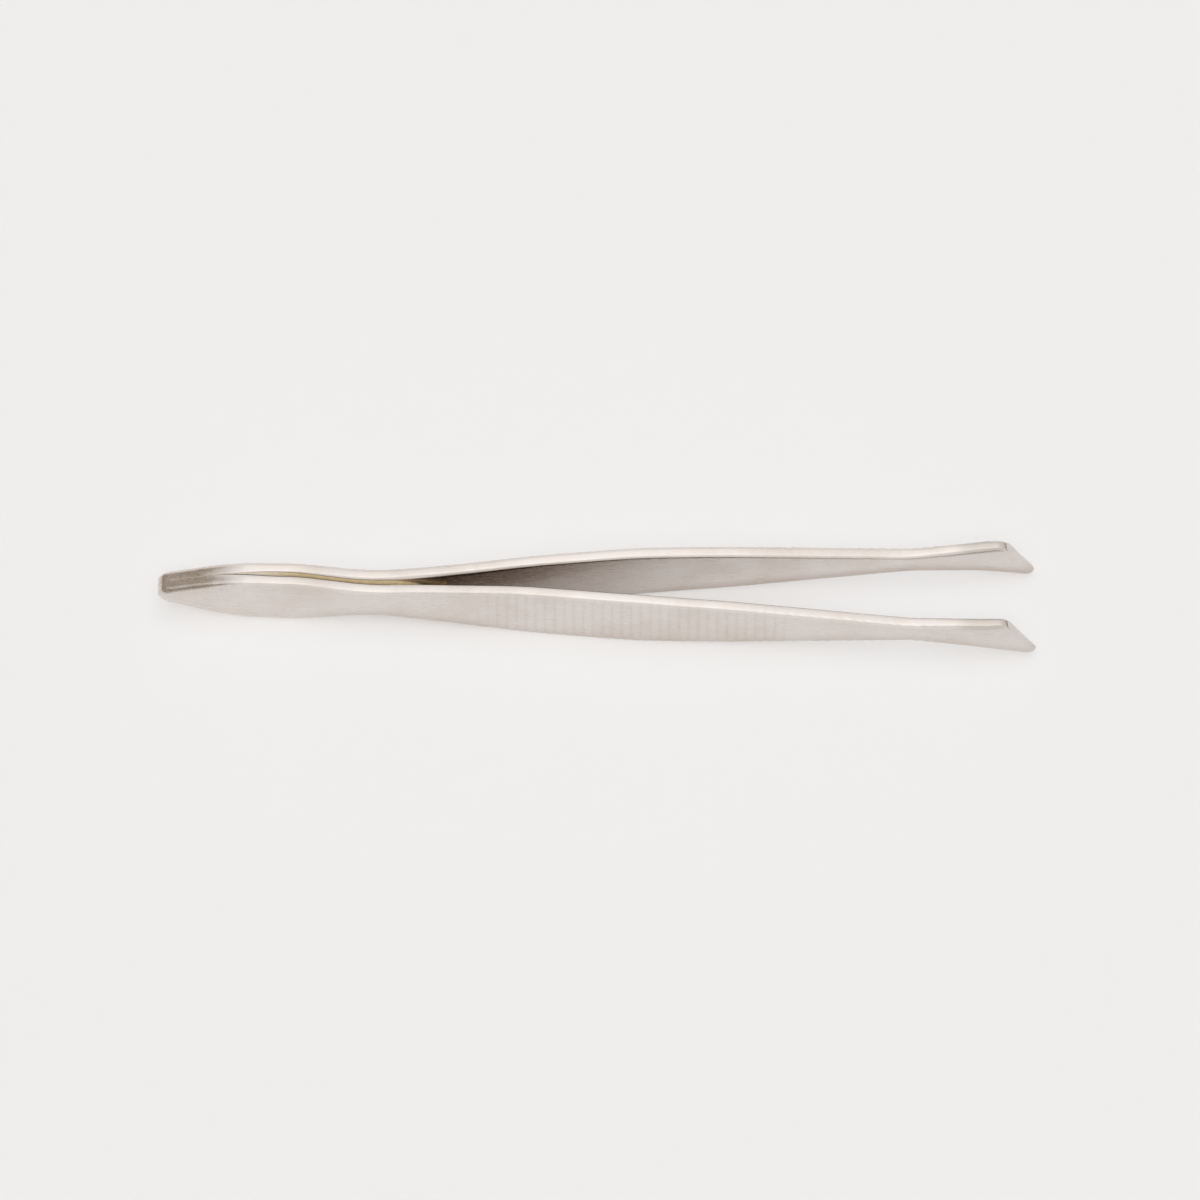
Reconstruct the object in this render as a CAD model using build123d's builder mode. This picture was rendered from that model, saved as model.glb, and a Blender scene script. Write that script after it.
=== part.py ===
from build123d import *
import os

os.makedirs("parts", exist_ok=True)

# Stamp tongs: two stamped leaves of spring steel, brazed face to face at the tail.
#
# The tongs lie on their edges. +X runs from the tail to the tips, +Y is the way they open, with the rear arm on
# that side, and +Z is across the width of the leaves. The origin is on the ground, under the middle of the whole
# object. Each arm is one leaf that flexes at its spring neck. It is made here as two solids, a tail and a blade,
# that meet at the neck on a hinge line that lies on the leaf's inner face.
#
# Sizes are in millimetres. A place along the tongs is a distance from the tail's end.

length = 115.0
sheet = 1.85                 # thickness of each leaf
middle = 4.85                # half the width of the grip, so the height of the leaf's middle line
flex_at = 30.0               # hinge line that stands for the flexing neck
reach = 12.0                 # further out than any part of the tongs
overrun = 1.0                # how much longer the bent sheet is than the outline that is cut from it

# The stamped outline, as half widths: corners of a polyline, each with the radius that rounds it.
nose = [((0.0, 1.1), 1.05), ((9.8, 4.36), 24.0), ((18.6, 4.36), 16.0)]           # pear-shaped tail
neck = [((27.9, 2.74), 12.0), ((48.2, middle), 60.0)]                             # spring neck, into the grip
blade = [((63.0, middle), 60.0), ((75.0, 4.12), 80.0), ((98.6, 1.76), 14.0)]      # grip, down to the waist
upper_corner = (111.3, 2.98)
lower_flare = ((108.0, 2.78), 12.0)   # below the middle line, the spade flares out further
lower_corner = (115.23, 4.5)          # so that its slanted end reaches furthest there
corner_round = 0.25

# The bent leaf, as half the opening between the inner faces, rounded in the same way.
braze_half = 0.05                     # the tails lie on a film of filler, twice as thick as this
braze_to = 9.5                        # it ends where they are still flat
bends = [
    ((12.5, braze_half), 180.0),
    ((32.5, 0.29), 180.0),
    ((44.5, 1.07), 280.0),
    ((63.2, 2.79), 280.0),
    ((100.0, 4.50), 280.0),
]
jaw_slope = 0.0633                    # how fast each jaw leaves the middle line, beyond the last bend

# The joined tail has a slight set: how far the line between the arms lies to the rear at the first bends.
lean = [0.64, 0.16]
tail_slope = 0.045                    # its slope along the flat of the tail

# The tips are ground thinner on their outer faces.
tip_sheet = 1.2
taper_from = 108.5

# Shallow vee grooves across the outer faces of the grip.
rib_from, rib_count, rib_pitch = 42.0, 34, 1.25
rib_depth, rib_mouth = 0.14, 0.62


def along(place):
    """X of a place given as a distance from the tail's end."""
    return place - length / 2


def jaw(place):
    """Half the opening between the inner faces beyond the last bend."""
    (last, half), radius = bends[-1]
    return half + jaw_slope * (place - last)


def tail_line(place, side):
    """A point of the flat part of a tail's inner face."""
    (first, half), radius = bends[0]
    return along(place), lean[0] + tail_slope * (first - place) + side * braze_half


def bent_line(side):
    """Corners and radii of a leaf's inner face, seen along its width. Side is 1 for the rear leaf."""
    corners = [tail_line(0.0, side)]
    for number, ((place, half), radius) in enumerate(bends):
        rear = lean[number] if number < len(lean) else 0.0
        corners.append((along(place), rear + side * half))
    corners.append((along(length + overrun), side * jaw(length + overrun)))
    return corners, [radius for corner, radius in bends]


def groove(spot, forward, out):
    """Corners of one vee groove, from a point of the inner face, the way along it and the way out of it."""
    lift = rib_depth / 2
    half = rib_mouth / 2 * (1 + lift / rib_depth)
    ends = [
        spot + out * (sheet + lift) - forward * half,
        spot + out * (sheet - rib_depth),
        spot + out * (sheet + lift) + forward * half,
    ]
    return [(end.X, end.Y) for end in ends]


def ground_tip(side):
    """Corners of what is ground away outside a tip."""
    fall = (jaw(taper_from) + sheet - jaw(length) - tip_sheet) / (length - taper_from)
    low = jaw(length) + tip_sheet - fall * overrun
    return [
        (along(taper_from), side * (jaw(taper_from) + sheet)),
        (along(length + overrun), side * low),
        (along(length + overrun), side * reach),
        (along(taper_from), side * reach),
    ]


def stamped_outline():
    """The outline of a leaf, seen square to its face."""
    edge = nose + neck + blade
    radii = [radius for corner, radius in edge]
    upper = [(along(x), middle + z) for (x, z), radius in edge]
    upper.append((along(upper_corner[0]), middle + upper_corner[1]))
    lower = [(along(x), middle - z) for (x, z), radius in edge + [lower_flare]]
    lower.append((along(lower_corner[0]), middle - lower_corner[1]))
    with BuildSketch(Plane.XZ) as outline:
        with BuildLine():
            top = FilletPolyline((along(0), middle), *upper, radius=radii)
            bottom = FilletPolyline((along(0), middle), *lower, radius=radii + [lower_flare[1]])
            Line(top @ 1, bottom @ 1)
        make_face()
        fillet(outline.vertices().sort_by(Axis.X)[-2:], radius=corner_round)
    return outline.sketch


def leaf(side):
    """One stamped and bent leaf: its bent sheet with the grip's ribs, cut to the stamped outline."""
    with BuildPart() as blank:
        with BuildSketch(Plane.XY):
            with BuildLine():
                corners, radii = bent_line(side)
                inner = FilletPolyline(*corners, radius=radii)
                offset(amount=sheet, side=Side.LEFT if side > 0 else Side.RIGHT)
            make_face()
            Polygon(*ground_tip(side), align=None, mode=Mode.SUBTRACT)
            for count in range(rib_count):
                distance = rib_from + count * rib_pitch
                spot = inner.position_at(distance, position_mode=PositionMode.LENGTH)
                forward = inner.tangent_at(distance, position_mode=PositionMode.LENGTH)
                out = Vector(-forward.Y, forward.X) * side
                Polygon(*groove(spot, forward, out), align=None, mode=Mode.SUBTRACT)
        extrude(amount=2 * middle)
        extrude(stamped_outline(), amount=reach, both=True, mode=Mode.INTERSECT)
    return blank.part


front = leaf(-1)
rear = leaf(1)
flex_plane = Plane.YZ.offset(along(flex_at))

with BuildPart() as front_tail:
    add(front)
    split(bisect_by=flex_plane, keep=Keep.BOTTOM)
front_tail.part.label = "front_tail"
export_step(front_tail.part, "parts/front_tail.step")

with BuildPart() as front_blade:
    add(front)
    split(bisect_by=flex_plane, keep=Keep.TOP)
front_blade.part.label = "front_blade"
export_step(front_blade.part, "parts/front_blade.step")

with BuildPart() as rear_tail:
    add(rear)
    split(bisect_by=flex_plane, keep=Keep.BOTTOM)
rear_tail.part.label = "rear_tail"
export_step(rear_tail.part, "parts/rear_tail.step")

with BuildPart() as rear_blade:
    add(rear)
    split(bisect_by=flex_plane, keep=Keep.TOP)
rear_blade.part.label = "rear_blade"
export_step(rear_blade.part, "parts/rear_blade.step")

# The film of filler between the tails, flush with their outline.
with BuildPart() as tail_braze:
    with BuildSketch(Plane.XY):
        front_edge = [tail_line(0.0, -1), tail_line(braze_to, -1)]
        rear_edge = [tail_line(braze_to, 1), tail_line(0.0, 1)]
        Polygon(*front_edge, *rear_edge, align=None)
    extrude(amount=2 * middle)
    extrude(stamped_outline(), amount=reach, both=True, mode=Mode.INTERSECT)
tail_braze.part.label = "tail_braze"
export_step(tail_braze.part, "parts/tail_braze.step")
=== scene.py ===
import math

import bpy
from bpy.props import FloatProperty, FloatVectorProperty, IntProperty, PointerProperty
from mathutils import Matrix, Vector, noise


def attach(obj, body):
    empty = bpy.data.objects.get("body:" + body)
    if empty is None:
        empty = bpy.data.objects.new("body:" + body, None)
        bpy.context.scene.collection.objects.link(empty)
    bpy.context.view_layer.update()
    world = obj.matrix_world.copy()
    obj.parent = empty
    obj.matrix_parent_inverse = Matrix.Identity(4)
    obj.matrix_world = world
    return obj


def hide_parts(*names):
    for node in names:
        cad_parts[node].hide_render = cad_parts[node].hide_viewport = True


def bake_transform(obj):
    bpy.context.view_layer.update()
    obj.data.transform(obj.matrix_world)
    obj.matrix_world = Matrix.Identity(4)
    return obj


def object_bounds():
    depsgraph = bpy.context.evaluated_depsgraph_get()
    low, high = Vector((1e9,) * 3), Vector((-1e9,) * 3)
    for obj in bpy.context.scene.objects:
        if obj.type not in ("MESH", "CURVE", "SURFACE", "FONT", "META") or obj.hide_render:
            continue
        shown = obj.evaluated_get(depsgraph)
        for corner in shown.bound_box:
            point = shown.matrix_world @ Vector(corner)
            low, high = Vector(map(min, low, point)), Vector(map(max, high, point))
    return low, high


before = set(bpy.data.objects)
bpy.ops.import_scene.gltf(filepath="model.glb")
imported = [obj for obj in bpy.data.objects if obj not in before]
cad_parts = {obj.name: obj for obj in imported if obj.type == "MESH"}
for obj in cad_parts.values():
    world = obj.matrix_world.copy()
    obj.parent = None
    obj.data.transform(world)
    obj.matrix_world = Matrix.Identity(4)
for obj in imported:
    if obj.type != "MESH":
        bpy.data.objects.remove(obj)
cad_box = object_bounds()

bl_info = {
    "name": "Stamp Tongs",
    "version": (1, 0, 0),
    "blender": (4, 5, 0),
    "location": "3D View > Sidebar > Stamp Tongs",
    "description": "Builds the leaves, the brazed tail and the studio of a pair of stamp tongs",
    "category": "Object",
}

# The tongs lie on their edges. +X runs from the tail to the tips, the rear arm is on the +Y side, and +Z is
# across the width of the leaves. A place is a distance from the tail's end. Places and sizes are in
# millimetres until a mesh is made, and everything in Blender is in metres.

MM = 0.001
HALF_LENGTH = -cad_box[0].x / MM            # the origin is under the middle of the tongs
MIDDLE = (cad_box[0].z + cad_box[1].z) / 2 / MM   # height of the leaves' middle line
FRONT, REAR = -1, 1

# The stamped outline, as corners of a half width and the radius that rounds each inner corner.
SHARED_OUTLINE = [
    ((0.0, 1.05), 0.0),
    ((9.8, 4.36), 24.0),
    ((18.6, 4.36), 16.0),
    ((27.9, 2.70), 22.0),
    ((48.2, MIDDLE), 60.0),
    ((63.0, MIDDLE), 60.0),
    ((75.0, 4.12), 80.0),
    ((98.6, 1.76), 14.0),
]
UPPER_END = [((111.5, 2.98), 0.0)]
LOWER_END = [((108.0, 2.78), 12.0), ((114.98, 4.44), 0.0)]

# The bent leaf: places of its bends, the line between the arms there, half the opening and the bend's radius.
BENDS = [
    (0.0, 1.2025, 0.05, 0.0),
    (12.5, 0.64, 0.05, 180.0),
    (32.5, 0.16, 0.29, 180.0),
    (44.5, 0.0, 1.07, 280.0),
    (63.2, 0.0, 2.79, 280.0),
    (100.0, 0.0, 4.50, 280.0),
    (116.0, 0.0, 5.5128, 0.0),
]

# The tip: where its slanted end starts to show in the mesh, and where its outer face is ground thinner.
SLANT_FROM = 104.0
GRIND_FROM = 108.5
TIP_SHEET = 1.25
FAR = 100.0                                 # a distance from the tip that is too far to matter

# In a pair of places, a change starts at the first and is complete at the second.

# Inner edges: nearly sharp where the tails meet, open beside the seam, and another radius along the arms.
SHARP_EDGE = 0.04
SEAM_OPENS = (8.0, 16.0)
ARM_STARTS = (40.0, 54.0)

# The tail's end: the run of its rounded outline, its thinner sheet, and its rounder outer edges.
NOSE_ROUND = 1.0
NOSE_THIN_TO, NOSE_THINNER = 1.8, 0.28
NOSE_ENDS = (1.0, 12.0)
NOSE_EDGE_MORE = 0.35

# The spade's edges are rounder than the arm's.
SPADE_STARTS = (97.0, 105.0)
SPADE_INNER_MORE, SPADE_OUTER_MORE = 0.20, 0.10

# The slanted tip: how far each corner is rounded off and over what run, and the rounding of its faces' ends.
TIP_TOP, TIP_TOP_RUN = 1.30, 2.2
TIP_FOOT, TIP_FOOT_RUN = 0.95, 1.05
TIP_PINCH, TIP_PINCH_RUN = 0.30, 0.40
TIP_RINGS = 27

# How the stamping pulled the outer face round towards its edges, and bowed the narrow sides outwards.
ROLL, NOSE_ROLL_MORE, ROLL_REACH = 0.12, 0.08, 1.6
CROWN, CROWN_MORE = 0.02, 0.08
CROWN_GROWS = (5.0, 13.0)
ROUND_LIMIT = 0.45                          # an edge is rounded over less than half of the sheet
EDGE_UNEVEN, EDGE_WAVE = 0.015, 1.1

# Beads along the outer edges, towards the tips.
BEADS_FROM, BEADS_TO, BEADS_FADE = 76.0, 106.0, 5.0
BEAD_PITCH = 1.45
BEAD_DEPTH = 0.11

# The ribs fade in and out over so many pitches, and reach so far into the sheet.
RIB_FADE = 2.5
PRESS_REACH = 0.4

# Cross-sections: how many there are at the tail's end and in each rib's pitch, and their spacing elsewhere.
NOSE_RINGS, NOSE_RINGS_TO = 16, 3.0
RINGS_PER_RIB = 10
NECK_SPACING, BLADE_SPACING = 0.45, 0.24
ARC_STEPS = 6                               # points round each rounded edge
FACE_STEPS = (4, 18, 4, 12)                 # points across the top, outer face, foot and inner face
CAP_SHARES = (0.93, 0.7, 0.35)              # sizes of the rings that close an end

# The filler: where it runs, and how far it sinks below the leaves' edges on its way up the neck.
SEAM_FROM, SEAM_RUN, SEAM_RINGS = 0.12, 38.0, 64
SEAM_SINK = 0.03
SEAM_SINKS = ((8.0, 14.0, 0.04), (14.0, 26.0, 0.18))
SEAM_ENDS, SEAM_END_SINK = (28.5, 38.5), 3.4
SEAM_LAP = 0.015                            # how far it laps into the leaves
SEAM_HOLLOW = 0.35
SEAM_STEPS = 8

# The straw tint: how deep it reaches into a leaf, deepest at the tail's end, and where it grows and fades out.
HEAT_REACH, HEAT_REACH_MORE, HEAT_NARROWS = 0.95, 1.4, (4.0, 13.0)
HEAT_GROWS, HEAT_FADES = (9.0, 15.0), (26.0, 56.0)

# Painted shade, a darker brown standing in for the shade inside the narrow neck and along the lower edges: how
# strong it is in the neck, how deep and where, then the same up from the lower edges.
NECK_SHADE, NECK_REACH = 0.6, 0.35
NECK_STARTS, NECK_FADES = (33.0, 39.0), (43.0, 75.0)
FOOT_SHADE, FOOT_SHADE_MORE, FOOT_REACH = 0.24, 0.20, 0.5
FOOT_RISE, FOOT_STARTS = 2.6, (14.0, 26.0)

# The spade's darker top edge, and the plate over the filler.
SPADE_TOP_STARTS = (103.5, 107.0)
SPADE_TOP_DOWN, SPADE_TOP_BLUR = 0.75, 0.45
PLATE_COVER, PLATE_THINS = 0.55, (12.0, 19.0)

# The studio, in metres and degrees. Bearings are from +Y.
FLOOR_HALF = 12.0
SCREEN_RADIUS, SCREEN_STEPS = 1.2, 12
SCREENS = (("left_screen", -150, -33, 1.40), ("right_screen", 38, 105, 0.45))   # bearings, then height
SOFTBOX_SIDES = (-0.66, 0.66)
SOFTBOX_ENDS = (-0.60, 1.15)
SOFTBOX_HEIGHT = 1.2
ROOM_COLOUR = (0.93, 0.92, 0.90, 1.0)
SUNS = (                                    # strength, spread, tilt to the front, whether it throws a shadow
    ("dome", 0.90, 150, 0.0, True),
    ("front_fill", 0.45, 30, 30.7, True),
    ("room", 1.80, 60, 0.0, False),
)
CAMERA_LENS, CAMERA_ELEVATION, CAMERA_DISTANCE = 400.0, 59.3, 1.748
AIM_PAST_MIDDLE, AIM_HEIGHT = 0.43, 3.36    # in millimetres


def metres(place, across, height):
    """A point in Blender, from a place along the tongs, a distance to the rear and a height."""
    return Vector((place - HALF_LENGTH, across, height)) * MM


def rounded_line(corners, place):
    """Height of a polyline at a place. Each corner is ((place, height), radius of the arc that rounds it)."""
    points = [point for point, radius in corners]
    slopes = [(b[1] - a[1]) / (b[0] - a[0]) for a, b in zip(points, points[1:])]
    for number in range(1, len(points) - 1):
        (at, height), radius = corners[number]
        turn = slopes[number] - slopes[number - 1]
        run = radius * abs(turn) / 2
        if abs(place - at) < run:
            return height + slopes[number - 1] * (place - at) + turn * (place - at + run) ** 2 / (4 * run)
    number = 0
    while number < len(slopes) - 1 and place > points[number + 1][0]:
        number += 1
    return points[number][1] + slopes[number] * (place - points[number][0])


def smooth(value):
    """0 below 0, 1 above 1 and an even ease between them."""
    value = min(max(value, 0.0), 1.0)
    return value * value * (3 - 2 * value)


def ease(value, start, stop):
    """0 before the start, 1 after the stop and an even ease between them, whichever way they run."""
    return smooth((value - start) / (stop - start))


def shortfall(share):
    """How far a quarter circle of radius 1 falls short of its side, a share of the way along."""
    return 1 - math.sqrt(max(0.0, 1 - min(max(share, 0.0), 1.0) ** 2))


def inner_face(place, side):
    """How far to the rear a leaf's inner face lies."""
    return rounded_line([((at, line + side * half), radius) for at, line, half, radius in BENDS], place)


def seam_rounding(place, sizes):
    """Radius of a leaf's inner edges: nearly sharp where the tails meet, then open beside the seam."""
    seam, arm = sizes.seam_round / MM, sizes.edge_round / MM
    radius = SHARP_EDGE + (seam - SHARP_EDGE) * ease(place, *SEAM_OPENS)
    return radius + (arm - seam) * ease(place, *ARM_STARTS)


def ribs(place, sizes):
    """How deep the outer face is pressed in by the ribs of the grip at a place, from 0 to 1."""
    step = (place - sizes.rib_from / MM) / (sizes.rib_pitch / MM)
    if not -0.5 < step < sizes.rib_count - 0.5:
        return 0.0
    off = abs(step - round(step)) * sizes.rib_pitch / MM
    fade = smooth((step + 0.5) / RIB_FADE) * smooth((sizes.rib_count - 0.5 - step) / RIB_FADE)
    return fade * (1 - smooth(off / (sizes.rib_mouth / MM / 2)))


def beads(place):
    """How much rounder the outer edges are at a place, in beads towards the tip, from -1 to 1."""
    fade = ease(place, BEADS_FROM, BEADS_FROM + BEADS_FADE) * ease(place, BEADS_TO, BEADS_TO - BEADS_FADE)
    uneven = 0.6 + 0.9 * noise.noise(Vector((place / 2.1, 5.0, 0.0)))
    return fade * uneven * math.cos(2 * math.pi * place / BEAD_PITCH)


def uneven_edge(place, side, row):
    """How far the stamping left an edge short of its outline. The row tells the upper from the lower edge."""
    return EDGE_UNEVEN * (1 + noise.noise(Vector((place / EDGE_WAVE, 3.0 * side, row))))


def stations(sizes):
    """Places of the cross-sections: close together at the tail's end and in the ribs."""
    places = [NOSE_RINGS_TO * ((number + 1) / (NOSE_RINGS + 1)) ** 2 for number in range(NOSE_RINGS)]
    start = (sizes.rib_from - sizes.rib_pitch / 2) / MM
    stop = start + sizes.rib_count * sizes.rib_pitch / MM
    runs = [
        (NOSE_RINGS_TO, start, NECK_SPACING),
        (start, stop, sizes.rib_pitch / MM / RINGS_PER_RIB),
        (stop, SLANT_FROM, BLADE_SPACING),
    ]
    for low, high, step in runs:
        count = max(1, round((high - low) / step))
        places += [low + (high - low) * number / count for number in range(count)]
    return places


def section(thick, upper, lower, inner_round, outer_round, crown):
    """One cross-section as (depth from the inner face, height), from the foot of the inner face and round."""
    corners = [
        (inner_round, upper - inner_round, inner_round, 180),
        (thick - outer_round, upper - outer_round, outer_round, 90),
        (thick - outer_round, -lower + outer_round, outer_round, 0),
        (inner_round, -lower + inner_round, inner_round, -90),
    ]
    loop = []
    for number, (depth, height, radius, start) in enumerate(corners):
        arc = []
        for turn in range(ARC_STEPS + 1):
            angle = math.radians(start - 90 / ARC_STEPS * turn)
            arc.append((depth + radius * math.cos(angle), height + radius * math.sin(angle)))
        after = corners[(number + 1) % 4]
        angle = math.radians(after[3])
        goal = (after[0] + after[2] * math.cos(angle), after[1] + after[2] * math.sin(angle))
        loop += arc
        for part in range(1, FACE_STEPS[number]):
            share = part / FACE_STEPS[number]
            if number in (1, 3):
                share = (1 - math.cos(math.pi * share)) / 2
            loop.append(tuple(a + (b - a) * share for a, b in zip(arc[-1], goal)))
    bowed = []
    for depth, height in loop:
        off = 2 * depth / thick - 1
        bowed.append((depth, height * (1 - crown * off * off / max(upper, lower))))
    return bowed


def leaf_ring(place, side, sizes, end=0.0):
    """One ring of a leaf's mesh. End goes from 0 to 1 over the slanted tip, past SLANT_FROM."""
    upper_place = place + end * (UPPER_END[0][0][0] - place)
    lower_place = place + end * (LOWER_END[1][0][0] - place)
    middle_place = (upper_place + lower_place) / 2
    to_end = (1 - end) * (middle_place - SLANT_FROM) / max(end, 1e-6) if end else FAR
    upper = rounded_line(SHARED_OUTLINE + UPPER_END, upper_place) - uneven_edge(upper_place, side, 0.0)
    lower = rounded_line(SHARED_OUTLINE + LOWER_END, lower_place) - uneven_edge(lower_place, side, 9.0)
    kept = 1 - shortfall(1 - place / NOSE_ROUND)
    upper = upper * kept - TIP_TOP * shortfall(1 - to_end / TIP_TOP_RUN)
    lower = lower * kept - TIP_FOOT * shortfall(1 - to_end / TIP_FOOT_RUN)
    thick = sizes.sheet / MM
    thick *= 1 - NOSE_THINNER * (1 - min(place, NOSE_THIN_TO) / NOSE_THIN_TO) ** 2
    pinch = TIP_PINCH * shortfall(1 - to_end / TIP_PINCH_RUN)
    spade = ease(middle_place, *SPADE_STARTS)
    nose = 1 - ease(place, *NOSE_ENDS)
    limit = ROUND_LIMIT * min(thick, upper + lower)
    inner_round = min(seam_rounding(place, sizes) + SPADE_INNER_MORE * spade, limit)
    outer_round = sizes.outer_round / MM + SPADE_OUTER_MORE * spade + NOSE_EDGE_MORE * nose
    outer_round = min(outer_round + BEAD_DEPTH * beads(upper_place), limit)
    crown = CROWN + CROWN_MORE * ease(place, *CROWN_GROWS)
    press = sizes.rib_depth / MM * ribs(place, sizes) if not end else 0.0
    ring = []
    for depth, height in section(thick, upper, lower, inner_round, outer_round, crown):
        to_edge = min(upper - height, height + lower)
        share = depth / thick
        roll = (ROLL + NOSE_ROLL_MORE * nose) * (1 - smooth(to_edge / ROLL_REACH)) * share
        pressed = press * smooth(1 - (thick - depth) / PRESS_REACH)
        rise = (height + lower) / (upper + lower)
        spot = lower_place + (upper_place - lower_place) * rise
        ground = (thick - TIP_SHEET) * max(0.0, spot - GRIND_FROM) / (2 * HALF_LENGTH - GRIND_FROM)
        depth = depth - roll - pressed - ground * share
        depth += pinch * (1 - 2 * share)
        ring.append(metres(spot, inner_face(spot, side) + side * depth, MIDDLE + height))
    return ring


def closing_rings(ring, bulge):
    """Smaller and smaller rings that close an open end with a slightly crowned face."""
    centre = sum(ring, Vector()) / len(ring)
    return [
        [centre + (point - centre) * share + bulge * (1 - share * share) for point in ring]
        for share in CAP_SHARES]


def skin(name, rings, bulges):
    """A closed mesh object through rings of equal length, with a crowned cap on each end."""
    first, last = rings[0], rings[-1]
    rings = closing_rings(first, bulges[0])[::-1] + rings + closing_rings(last, bulges[1])
    count = len(first)
    points = [point for ring in rings for point in ring]
    faces = []
    for number in range(len(rings) - 1):
        here, there = number * count, (number + 1) * count
        for step in range(count):
            after = (step + 1) % count
            faces.append((here + step, there + step, there + after, here + after))
    ends = ((rings[0], bulges[0], 0, False), (rings[-1], bulges[1], len(points) - count, True))
    for ring, bulge, start, flip in ends:
        centre = len(points)
        points.append(sum(ring, Vector()) / count + bulge * 0.1)
        for step in range(count):
            face = (centre, start + step, start + (step + 1) % count)
            faces.append(face[::-1] if flip else face)
    mesh = bpy.data.meshes.new(name)
    mesh.from_pydata([tuple(point) for point in points], [], faces)
    mesh.validate()
    mesh.polygons.foreach_set("use_smooth", [True] * len(mesh.polygons))
    mesh.update()
    if mesh_volume(mesh) < 0:
        mesh.flip_normals()
    piece = bpy.data.objects.new(name, mesh)
    bpy.context.scene.collection.objects.link(piece)
    return piece


def mesh_volume(mesh):
    """Signed volume inside a closed mesh."""
    volume = 0.0
    for polygon in mesh.polygons:
        corners = [mesh.vertices[index].co for index in polygon.vertices]
        for number in range(1, len(corners) - 1):
            volume += corners[0].dot(corners[number].cross(corners[number + 1])) / 6
    return volume


def build_leaf(name, side, sizes):
    """One stamped and bent leaf, from the tail's end to its slanted tip."""
    rings = [leaf_ring(place, side, sizes) for place in stations(sizes)]
    steps = [1 - (1 - number / (TIP_RINGS - 1)) ** 1.6 for number in range(TIP_RINGS)]
    rings += [leaf_ring(SLANT_FROM, side, sizes, end=max(step, 1e-4)) for step in steps]
    slant = Vector((0.89, 0.0, 0.45)) * 0.05 * MM
    return skin(name, rings, (Vector((-0.008 * MM, 0.0, 0.0)), slant))


def seam_ring(place, sizes):
    """One ring of the filler's mesh: it fills the gap and laps into the leaves' rounded edges."""
    edge = rounded_line(SHARED_OUTLINE + UPPER_END, place) * (1 - shortfall(1 - place / NOSE_ROUND))
    line = (inner_face(place, FRONT) + inner_face(place, REAR)) / 2
    gap = (inner_face(place, REAR) - inner_face(place, FRONT)) / 2
    radius = seam_rounding(place, sizes)
    sink = SEAM_SINK
    for start, stop, drop in SEAM_SINKS:
        sink += drop * ease(place, start, stop)
    sink += SEAM_END_SINK * ease(place, *SEAM_ENDS) ** 2
    sink = min(sink + 0.02 * noise.noise(Vector((place / 0.9, 0.0, 0.0))), 0.95 * edge)
    profile = []
    for step in range(SEAM_STEPS + 1):
        height = (edge - sink) * (1 - (1 - step / SEAM_STEPS) ** 3)
        short = max(0.0, radius - (edge - height))
        flare = radius - math.sqrt(max(0.0, radius * radius - short * short))
        profile.append((gap + flare + SEAM_LAP, height))
    brim = profile[-1][0]
    hollow = SEAM_HOLLOW * brim * ease(place, *SEAM_OPENS)
    for share in (0.66, 0.33):
        profile.append((brim * share, edge - sink - hollow * (1 - share * share)))
    ring = [metres(place, line + width, MIDDLE + height) for width, height in profile]
    ring += [metres(place, line - width, MIDDLE + height) for width, height in profile[::-1]]
    ring += [metres(place, line - width, MIDDLE - height) for width, height in profile[1:]]
    ring += [metres(place, line + width, MIDDLE - height) for width, height in profile[:0:-1]]
    return ring


def mark(piece, side, name, measure):
    """Stores a measure at each vertex of a piece: of its place, depth from the inner face and height."""
    values = []
    for vertex in piece.data.vertices:
        spot = vertex.co / MM
        place = spot.x + HALF_LENGTH
        values.append(measure(place, side * (spot.y - inner_face(place, side)), spot.z))
    piece.data.attributes.new(name, "FLOAT", "POINT").data.foreach_set("value", values)


def heat(place, depth, height):
    """How much the brazing torch has tinted a leaf, from 0 to 1, at a depth from its inner face."""
    reach = HEAT_REACH + HEAT_REACH_MORE * (1 - ease(place, *HEAT_NARROWS))
    nearness = 1 - smooth(depth / reach)
    uneven = 0.9 + 0.35 * noise.noise(Vector((place / 2.5, depth, 0.0)))
    return nearness * uneven * (0.6 + 0.4 * ease(place, *HEAT_GROWS)) * (1 - ease(place, *HEAT_FADES))


def painted_shade(place, depth, height):
    """How much painted shade darkens a leaf's colour, from 0 to 1: inside the narrow neck, and along its lower
    edges.
    """
    neck = NECK_SHADE * (1 - smooth(depth / NECK_REACH)) * ease(place, *NECK_STARTS)
    neck *= 1 - ease(place, *NECK_FADES)
    foot = MIDDLE - rounded_line(SHARED_OUTLINE + LOWER_END, place)
    low = smooth(1 - (height - foot) / FOOT_RISE) * ease(place, *FOOT_STARTS)
    return max(neck, low * (FOOT_SHADE + FOOT_SHADE_MORE * (1 - smooth(depth / FOOT_REACH))))


def spade_top_darker(place, depth, height):
    """How much darker the spade's top edge is drawn, from 0 to 1."""
    top = MIDDLE + rounded_line(SHARED_OUTLINE + UPPER_END, place)
    return ease(place, *SPADE_TOP_STARTS) * smooth((height - top + SPADE_TOP_DOWN) / SPADE_TOP_BLUR)


def plated_over(place, depth, height):
    """How well the nickel covers the filler, from 0 to 1: best at the tail's end."""
    return PLATE_COVER * (1 - ease(place, *PLATE_THINS))


def linear(hex_colour):
    """Linear red, green and blue of an sRGB hex colour."""
    values = [int(hex_colour[start:start + 2], 16) / 255 for start in (1, 3, 5)]
    return [value / 12.92 if value <= 0.04045 else ((value + 0.055) / 1.055) ** 2.4 for value in values]


def add_node(tree, kind, settings=None, links=None):
    """Adds a node. Settings are its own properties or its inputs' values, and links go into its inputs."""
    node = tree.nodes.new(kind)
    for name, value in (settings or {}).items():
        if isinstance(name, str) and hasattr(node, name):
            setattr(node, name, value)
        else:
            node.inputs[name].default_value = value
    for name, source in (links or {}).items():
        tree.links.new(source, node.inputs[name])
    return node


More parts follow.
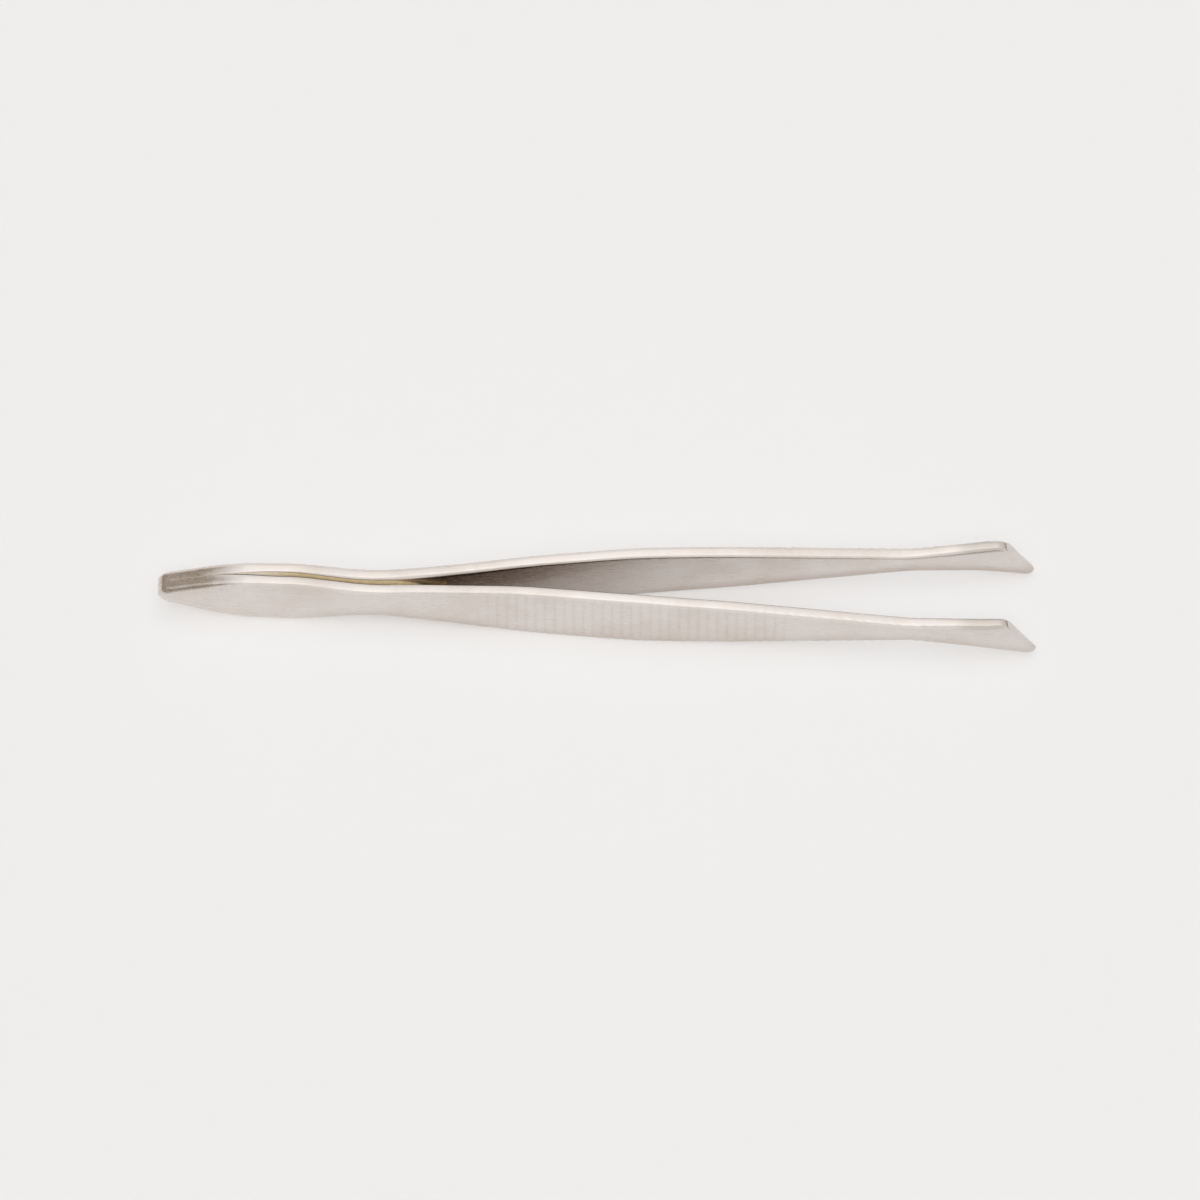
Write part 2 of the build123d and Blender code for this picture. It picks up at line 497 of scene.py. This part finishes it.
def new_material(name):
    """An empty node material, its tree and its output node."""
    material = bpy.data.materials.new(name)
    material.use_nodes = True
    material.node_tree.nodes.clear()
    return material, material.node_tree, add_node(material.node_tree, "ShaderNodeOutputMaterial")


def per_metre(*spacings):
    """Texture scales that repeat about every so many millimetres along each axis."""
    return [1 / (spacing * MM) for spacing in spacings]


def nickel_plated_stamped_steel(finish):
    """Stamped and bent spring steel, tumbled and nickel plated: warm silver, softly blurred."""
    material, tree, output = new_material("nickel_plated_stamped_steel")
    spot = add_node(tree, "ShaderNodeTexCoord").outputs["Object"]
    # Polishing lines run along the leaves. Real ones are about 0.02 mm apart, too fine to show, so they are
    # drawn 0.2 mm apart.
    along = add_node(tree, "ShaderNodeMapping", {"Scale": per_metre(9.0, 0.2, 0.2)}, {"Vector": spot})
    lines = add_node(
        tree, "ShaderNodeTexNoise", {"Scale": 1.0, "Detail": 3.0}, {"Vector": along.outputs["Vector"]})
    # Cloudy patches where the plating is duller, about 7 mm across.
    clouds = add_node(
        tree, "ShaderNodeTexNoise", {"Scale": per_metre(7.0)[0], "Detail": 4.0},
        {"Vector": spot})
    # Small hollows left by the stamping and the tumbling, about 0.8 mm apart.
    dents = add_node(
        tree, "ShaderNodeTexNoise", {"Scale": per_metre(0.8)[0], "Detail": 2.0},
        {"Vector": spot})
    dull = add_node(
        tree, "ShaderNodeMapRange", {"From Min": 0.42, "From Max": 0.70}, {"Value": clouds.outputs["Fac"]})
    colour = add_node(
        tree, "ShaderNodeMix",
        {"data_type": "RGBA", 6: (*finish.nickel_colour, 1.0), 7: (*finish.dull_colour, 1.0)},
        {0: dull.outputs["Result"]})
    # The torch left a straw tint beside the seam. Painted shade darkens the neck, the lower edges and the
    # ribs' grooves, and the spade's top edge is drawn darker.
    tints = (
        ("heat", finish.heat_colour), ("painted_shade", finish.painted_shade_colour), ("spade_top_darker", finish.spade_top_colour))
    for name, tint in tints:
        amount = add_node(tree, "ShaderNodeAttribute", {"attribute_name": name}).outputs["Fac"]
        colour = add_node(
            tree, "ShaderNodeMix", {"data_type": "RGBA", 7: (*tint, 1.0)}, {0: amount, 6: colour.outputs[2]})
    # Painted shade: the colour is darkened inside each rib's groove in place of the shade there.
    grooves = add_node(tree, "ShaderNodeAttribute", {"attribute_name": "pressed"}).outputs["Fac"]
    shade = add_node(tree, "ShaderNodeMapRange", {"To Max": 0.17}, {"Value": grooves})
    colour = add_node(
        tree, "ShaderNodeMix", {"data_type": "RGBA", 7: (*finish.groove_shade_colour, 1.0)},
        {0: shade.outputs["Result"], 6: colour.outputs[2]})
    rough = add_node(
        tree, "ShaderNodeMapRange",
        {"From Min": 0.3, "From Max": 0.7, "To Min": finish.nickel_roughness - 0.05,
         "To Max": finish.nickel_roughness + 0.07},
        {"Value": lines.outputs["Fac"]})
    relief = add_node(
        tree, "ShaderNodeBump", {"Strength": 0.25, "Distance": 0.02 * MM}, {"Height": dents.outputs["Fac"]})
    brushed = add_node(
        tree, "ShaderNodeBump", {"Strength": 0.15, "Distance": 0.004 * MM},
        {"Height": lines.outputs["Fac"], "Normal": relief.outputs["Normal"]})
    shader = add_node(
        tree, "ShaderNodeBsdfPrincipled", {"Metallic": 1.0},
        {"Base Color": colour.outputs[2], "Roughness": rough.outputs["Result"],
         "Normal": brushed.outputs["Normal"]})
    tree.links.new(shader.outputs["BSDF"], output.inputs["Surface"])
    return material


def brazing_filler(finish):
    """Brass filler that flowed between the tails and was left as it set: golden, uneven and half dull."""
    material, tree, output = new_material("brass_brazing_filler")
    spot = add_node(tree, "ShaderNodeTexCoord").outputs["Object"]
    # Grains and flux stains about 0.5 mm across.
    grains = add_node(
        tree, "ShaderNodeTexNoise", {"Scale": per_metre(0.5)[0], "Detail": 4.0},
        {"Vector": spot})
    colour = add_node(
        tree, "ShaderNodeMix",
        {"data_type": "RGBA", 6: (*finish.filler_colour, 1.0), 7: (*finish.stain_colour, 1.0)},
        {0: grains.outputs["Fac"]})
    # The nickel plate half covers the filler at the tail's end and thins out along the seam.
    plate = add_node(tree, "ShaderNodeAttribute", {"attribute_name": "plated"}).outputs["Fac"]
    colour = add_node(
        tree, "ShaderNodeMix", {"data_type": "RGBA", 7: (*finish.nickel_colour, 1.0)},
        {0: plate, 6: colour.outputs[2]})
    rough = add_node(
        tree, "ShaderNodeMapRange", {"To Min": 0.30, "To Max": 0.55}, {"Value": grains.outputs["Fac"]})
    relief = add_node(
        tree, "ShaderNodeBump", {"Strength": 0.4, "Distance": 0.03 * MM}, {"Height": grains.outputs["Fac"]})
    shader = add_node(
        tree, "ShaderNodeBsdfPrincipled", {"Metallic": 1.0},
        {"Base Color": colour.outputs[2], "Roughness": rough.outputs["Result"],
         "Normal": relief.outputs["Normal"]})
    tree.links.new(shader.outputs["BSDF"], output.inputs["Surface"])
    return material


def pale_paper(finish):
    """Seamless studio paper: pale grey, matt, with a tooth too fine to see from here."""
    material, tree, output = new_material("matt_studio_paper")
    spot = add_node(tree, "ShaderNodeTexCoord").outputs["Object"]
    # The paper's tooth is about 0.1 mm, drawn at 0.4 mm so that it isn't lost between the render's samples.
    tooth = add_node(
        tree, "ShaderNodeTexNoise", {"Scale": per_metre(0.4)[0], "Detail": 2.0},
        {"Vector": spot})
    relief = add_node(
        tree, "ShaderNodeBump", {"Strength": 0.05, "Distance": 0.01 * MM}, {"Height": tooth.outputs["Fac"]})
    shader = add_node(
        tree, "ShaderNodeBsdfPrincipled",
        {"Base Color": (*finish.floor_colour, 1.0), "Roughness": 0.95, "Specular IOR Level": 0.0},
        {"Normal": relief.outputs["Normal"]})
    tree.links.new(shader.outputs["BSDF"], output.inputs["Surface"])
    return material


def grey_felt(finish):
    """Pale, warm grey studio felt with no gloss: it looks a little darker in the metal than the open room."""
    material, tree, output = new_material("warm_grey_felt")
    spot = add_node(tree, "ShaderNodeTexCoord").outputs["Object"]
    fibres = add_node(
        tree, "ShaderNodeTexNoise", {"Scale": per_metre(4.0)[0], "Detail": 3.0},
        {"Vector": spot})
    relief = add_node(
        tree, "ShaderNodeBump", {"Strength": 0.3, "Distance": 0.5 * MM}, {"Height": fibres.outputs["Fac"]})
    shader = add_node(
        tree, "ShaderNodeBsdfPrincipled",
        {"Base Color": (*finish.felt_colour, 1.0), "Roughness": 1.0, "Specular IOR Level": 0.0},
        {"Normal": relief.outputs["Normal"]})
    tree.links.new(shader.outputs["BSDF"], output.inputs["Surface"])
    return material


def add_sheet(name, corners, faces, material):
    """A thin object of the studio, through corners in metres."""
    mesh = bpy.data.meshes.new(name)
    mesh.from_pydata(corners, [], faces)
    mesh.materials.append(material)
    sheet = bpy.data.objects.new(name, mesh)
    bpy.context.scene.collection.objects.link(sheet)
    return sheet


def softbox_cloth():
    """White diffusion cloth, lit from behind: brightest over the front, fading to its back and sides."""
    material, tree, output = new_material("white_diffusion_cloth")
    spot = add_node(tree, "ShaderNodeTexCoord").outputs["Object"]
    place = add_node(tree, "ShaderNodeSeparateXYZ", links={"Vector": spot})
    left = add_node(
        tree, "ShaderNodeMapRange",
        {"interpolation_type": "SMOOTHSTEP", "From Min": -0.75, "From Max": -0.25, "To Min": 0.45,
         "To Max": 1.0},
        {"Value": place.outputs["X"]})
    right = add_node(
        tree, "ShaderNodeMapRange",
        {"interpolation_type": "SMOOTHSTEP", "From Min": 0.10, "From Max": 0.50, "To Min": 1.0,
         "To Max": 0.84},
        {"Value": place.outputs["X"]})
    sides = add_node(
        tree, "ShaderNodeMath", {"operation": "MULTIPLY"},
        {0: left.outputs["Result"], 1: right.outputs["Result"]})
    depth = add_node(
        tree, "ShaderNodeMapRange", {"From Min": 0.10, "From Max": 1.15, "To Min": 1.36, "To Max": 1.13},
        {"Value": place.outputs["Y"]})
    glow = add_node(
        tree, "ShaderNodeMath", {"operation": "MULTIPLY"},
        {0: sides.outputs["Value"], 1: depth.outputs["Result"]})
    shader = add_node(
        tree, "ShaderNodeEmission", {"Color": (1.0, 0.99, 0.97, 1.0)}, {"Strength": glow.outputs["Value"]})
    tree.links.new(shader.outputs["Emission"], output.inputs["Surface"])
    return material


class StampTongsSizes(bpy.types.PropertyGroup):
    """Sizes of the leaves, their edges and their ribs."""

    sheet: FloatProperty(
        name="Sheet", description="Thickness of each leaf", default=1.85 * MM, unit="LENGTH", precision=5)
    edge_round: FloatProperty(
        name="Inner edge", description="Radius of the inner edges along the arms", default=0.40 * MM,
        unit="LENGTH", precision=5)
    seam_round: FloatProperty(
        name="Seam edge", description="Radius of the inner edges beside the tail's seam", default=0.52 * MM,
        unit="LENGTH", precision=5)
    outer_round: FloatProperty(
        name="Outer edge", description="Radius of the outer edges", default=0.58 * MM, unit="LENGTH",
        precision=5)
    rib_from: FloatProperty(
        name="First rib", description="Place of the first rib from the tail's end", default=42.0 * MM,
        unit="LENGTH", precision=5)
    rib_pitch: FloatProperty(
        name="Rib pitch", description="Distance from rib to rib", default=1.25 * MM, unit="LENGTH",
        precision=5)
    rib_mouth: FloatProperty(
        name="Rib mouth", description="Width of each pressed groove", default=0.66 * MM, unit="LENGTH",
        precision=5)
    rib_depth: FloatProperty(
        name="Rib depth", description="Depth of each pressed groove", default=0.05 * MM, unit="LENGTH",
        precision=5)
    rib_count: IntProperty(name="Ribs", description="Number of grooves across each grip", default=34, min=1)


class StampTongsFinish(bpy.types.PropertyGroup):
    """Colours and gloss of the metal, and the colours of the screens and the floor."""

    nickel_colour: FloatVectorProperty(
        name="Nickel", description="Colour of clean nickel plate", subtype="COLOR", default=linear("#e0d9d5"))
    dull_colour: FloatVectorProperty(
        name="Dull nickel", description="Colour where the plate has dulled", subtype="COLOR",
        default=linear("#d8d0c9"))
    heat_colour: FloatVectorProperty(
        name="Heat tint", description="Straw colour that the torch left beside the seam", subtype="COLOR",
        default=linear("#b8976a"))
    # Painted shade: the brown that darkens the inside of the neck and the lower edges in place of their shade.
    painted_shade_colour: FloatVectorProperty(
        name="Tarnish", description="Brown of the dull plate inside the neck and along the lower edges",
        subtype="COLOR", default=linear("#8f7a67"))
    # The spade's top edge is drawn in this darker colour.
    spade_top_colour: FloatVectorProperty(
        name="Dressed nickel", description="Colour of the stoned top edge of the spade", subtype="COLOR",
        default=linear("#cbc4be"))
    # Painted shade: a darker colour standing in for the shade inside the ribs' grooves.
    groove_shade_colour: FloatVectorProperty(
        name="Grooves", description="Colour of the plate in the ribs' grooves", subtype="COLOR",
        default=linear("#b3a99f"))
    nickel_roughness: FloatProperty(
        name="Nickel roughness", description="Roughness of the satin-polished plate", default=0.24,
        subtype="FACTOR", min=0.05, max=1.0)
    filler_colour: FloatVectorProperty(
        name="Filler", description="Colour of the brazing filler", subtype="COLOR", default=linear("#c7b492"))
    stain_colour: FloatVectorProperty(
        name="Filler stain", description="Colour of the stains on the filler", subtype="COLOR",
        default=linear("#a89674"))
    felt_colour: FloatVectorProperty(
        name="Screens", description="Colour of the felt screens beside the tongs", subtype="COLOR",
        default=linear("#cfc1b2"))
    floor_colour: FloatVectorProperty(
        name="Floor", description="Colour of the studio paper", subtype="COLOR", default=linear("#efefef"))


class STAMPTONGS_OT_arms(bpy.types.Operator):
    """Build the front and the rear leaf, each in one piece from the tail to the tip"""

    bl_idname = "stamptongs.arms"
    bl_label = "Arms"

    def execute(self, context):
        sizes = context.scene.stamp_tongs_sizes
        steel = nickel_plated_stamped_steel(context.scene.stamp_tongs_finish)

        # Mask for the painted shade in the ribs' grooves: deepest in each groove, near the outer face.
        def pressed(place, depth, height):
            return ribs(place, sizes) * smooth(1 - (sizes.sheet / MM - depth) / PRESS_REACH)

        # Two of these measures are painted shade: the darker neck and lower edges, and the darker grooves.
        measures = (("heat", heat), ("painted_shade", painted_shade), ("pressed", pressed), ("spade_top_darker", spade_top_darker))
        for side, arm in ((FRONT, "front"), (REAR, "rear")):
            leaf = build_leaf(arm + "_leaf", side, sizes)
            for name, measure in measures:
                mark(leaf, side, name, measure)
            leaf.data.materials.append(steel)
            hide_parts(arm + "_tail", arm + "_blade")
            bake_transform(leaf)
        return {"FINISHED"}


class STAMPTONGS_OT_braze(bpy.types.Operator):
    """Build the film of filler that joins the tails"""

    bl_idname = "stamptongs.braze"
    bl_label = "Brazed seam"

    def execute(self, context):
        sizes = context.scene.stamp_tongs_sizes
        places = [SEAM_FROM + SEAM_RUN * (number / (SEAM_RINGS - 1)) ** 1.2 for number in range(SEAM_RINGS)]
        rings = [seam_ring(place, sizes) for place in places]
        ends = (Vector((-0.02 * MM, 0.0, 0.0)), Vector((0.02 * MM, 0.0, 0.0)))
        seam_piece = skin("tail_seam", rings, ends)
        mark(seam_piece, FRONT, "plated", plated_over)
        seam_piece.data.materials.append(brazing_filler(context.scene.stamp_tongs_finish))
        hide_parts("tail_braze")
        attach(seam_piece, "tail")
        return {"FINISHED"}


class STAMPTONGS_OT_stage(bpy.types.Operator):
    """Set up the paper floor, the soft lights and the camera"""

    bl_idname = "stamptongs.stage"
    bl_label = "Stage"

    def execute(self, context):
        scene = context.scene
        finish = scene.stamp_tongs_finish
        felt = grey_felt(finish)
        half = FLOOR_HALF
        corners = [(-half, -half, 0), (half, -half, 0), (half, half, 0), (-half, half, 0)]
        floor = add_sheet("floor", corners, [(0, 1, 2, 3)], pale_paper(finish))

        # The room is a pale, even grey that shows in the metal and doesn't light the paper.
        world = bpy.data.worlds.new("studio")
        world.use_nodes = True
        world.node_tree.nodes["Background"].inputs["Color"].default_value = ROOM_COLOUR
        scene.world = world
        world.cycles_visibility.diffuse = False

        # Felt screens stand left and right, beyond the tail and the tips, for the metal to reflect. The
        # camera doesn't see them, and they throw no shadow.
        steps = SCREEN_STEPS
        for name, start, stop, height in SCREENS:
            angles = [math.radians(start + (stop - start) * step / steps) for step in range(steps + 1)]
            row = [(SCREEN_RADIUS * math.sin(angle), SCREEN_RADIUS * math.cos(angle)) for angle in angles]
            corners = [(x, y, z) for z in (0.0, height) for x, y in row]
            faces = [(step, step + 1, step + steps + 2, step + steps + 1) for step in range(steps)]
            screen = add_sheet(name, corners, faces, felt)
            screen.visible_camera = False
            screen.visible_shadow = False

        # The softbox hangs over the tongs and a little behind them. Only the metal sees it.
        (left, right), (near, far), top = SOFTBOX_SIDES, SOFTBOX_ENDS, SOFTBOX_HEIGHT
        corners = [(left, near, top), (left, far, top), (right, far, top), (right, near, top)]
        softbox = add_sheet("softbox", corners, [(0, 1, 2, 3)], softbox_cloth())
        softbox.visible_camera = False
        softbox.visible_diffuse = False
        softbox.visible_shadow = False

        # Diffuse light for the paper: it doesn't show in the metal. Only the first two throw soft shadows.
        for name, strength, spread, tilt, shadow in SUNS:
            sun = bpy.data.lights.new(name, "SUN")
            sun.energy = strength
            sun.angle = math.radians(spread)
            sun.use_shadow = shadow
            lamp = bpy.data.objects.new(name, sun)
            lamp.rotation_euler = (math.radians(tilt), 0.0, 0.0)
            lamp.visible_glossy = False
            scene.collection.objects.link(lamp)

        aim = metres(HALF_LENGTH + AIM_PAST_MIDDLE, 0.0, AIM_HEIGHT)
        elevation = math.radians(CAMERA_ELEVATION)
        back = Vector((0.0, -math.cos(elevation), math.sin(elevation)))
        camera = bpy.data.cameras.new("camera")
        camera.lens = CAMERA_LENS
        camera.sensor_width = 36.0
        camera.clip_start = 0.05
        camera.clip_end = 50.0
        view = bpy.data.objects.new("camera", camera)
        view.location = aim + back * CAMERA_DISTANCE
        view.rotation_mode = "QUATERNION"
        view.rotation_quaternion = (-back).to_track_quat("-Z", "Y")
        scene.collection.objects.link(view)
        scene.camera = view
        scene.view_settings.view_transform = "Standard"
        return {"FINISHED"}


STEPS = (STAMPTONGS_OT_arms, STAMPTONGS_OT_braze, STAMPTONGS_OT_stage)


class STAMPTONGS_PT_panel(bpy.types.Panel):
    """Sidebar list of the tongs' pieces, sizes and colours"""

    bl_idname = "STAMPTONGS_PT_panel"
    bl_label = "Stamp Tongs"
    bl_space_type = "VIEW_3D"
    bl_region_type = "UI"
    bl_category = "Stamp Tongs"

    def draw(self, context):
        for group in (context.scene.stamp_tongs_sizes, context.scene.stamp_tongs_finish):
            column = self.layout.column()
            for name in group.__annotations__:
                column.prop(group, name)
        for step in STEPS:
            self.layout.operator(step.bl_idname)


CLASSES = (StampTongsSizes, StampTongsFinish, *STEPS, STAMPTONGS_PT_panel)


def register():
    for item in CLASSES:
        bpy.utils.register_class(item)
    bpy.types.Scene.stamp_tongs_sizes = PointerProperty(type=StampTongsSizes)
    bpy.types.Scene.stamp_tongs_finish = PointerProperty(type=StampTongsFinish)


def unregister():
    del bpy.types.Scene.stamp_tongs_finish
    del bpy.types.Scene.stamp_tongs_sizes
    for item in reversed(CLASSES):
        bpy.utils.unregister_class(item)


def main():
    register()
    for step in STEPS:
        group, name = step.bl_idname.split(".")
        getattr(getattr(bpy.ops, group), name)()


if __name__ == "__main__":
    main()
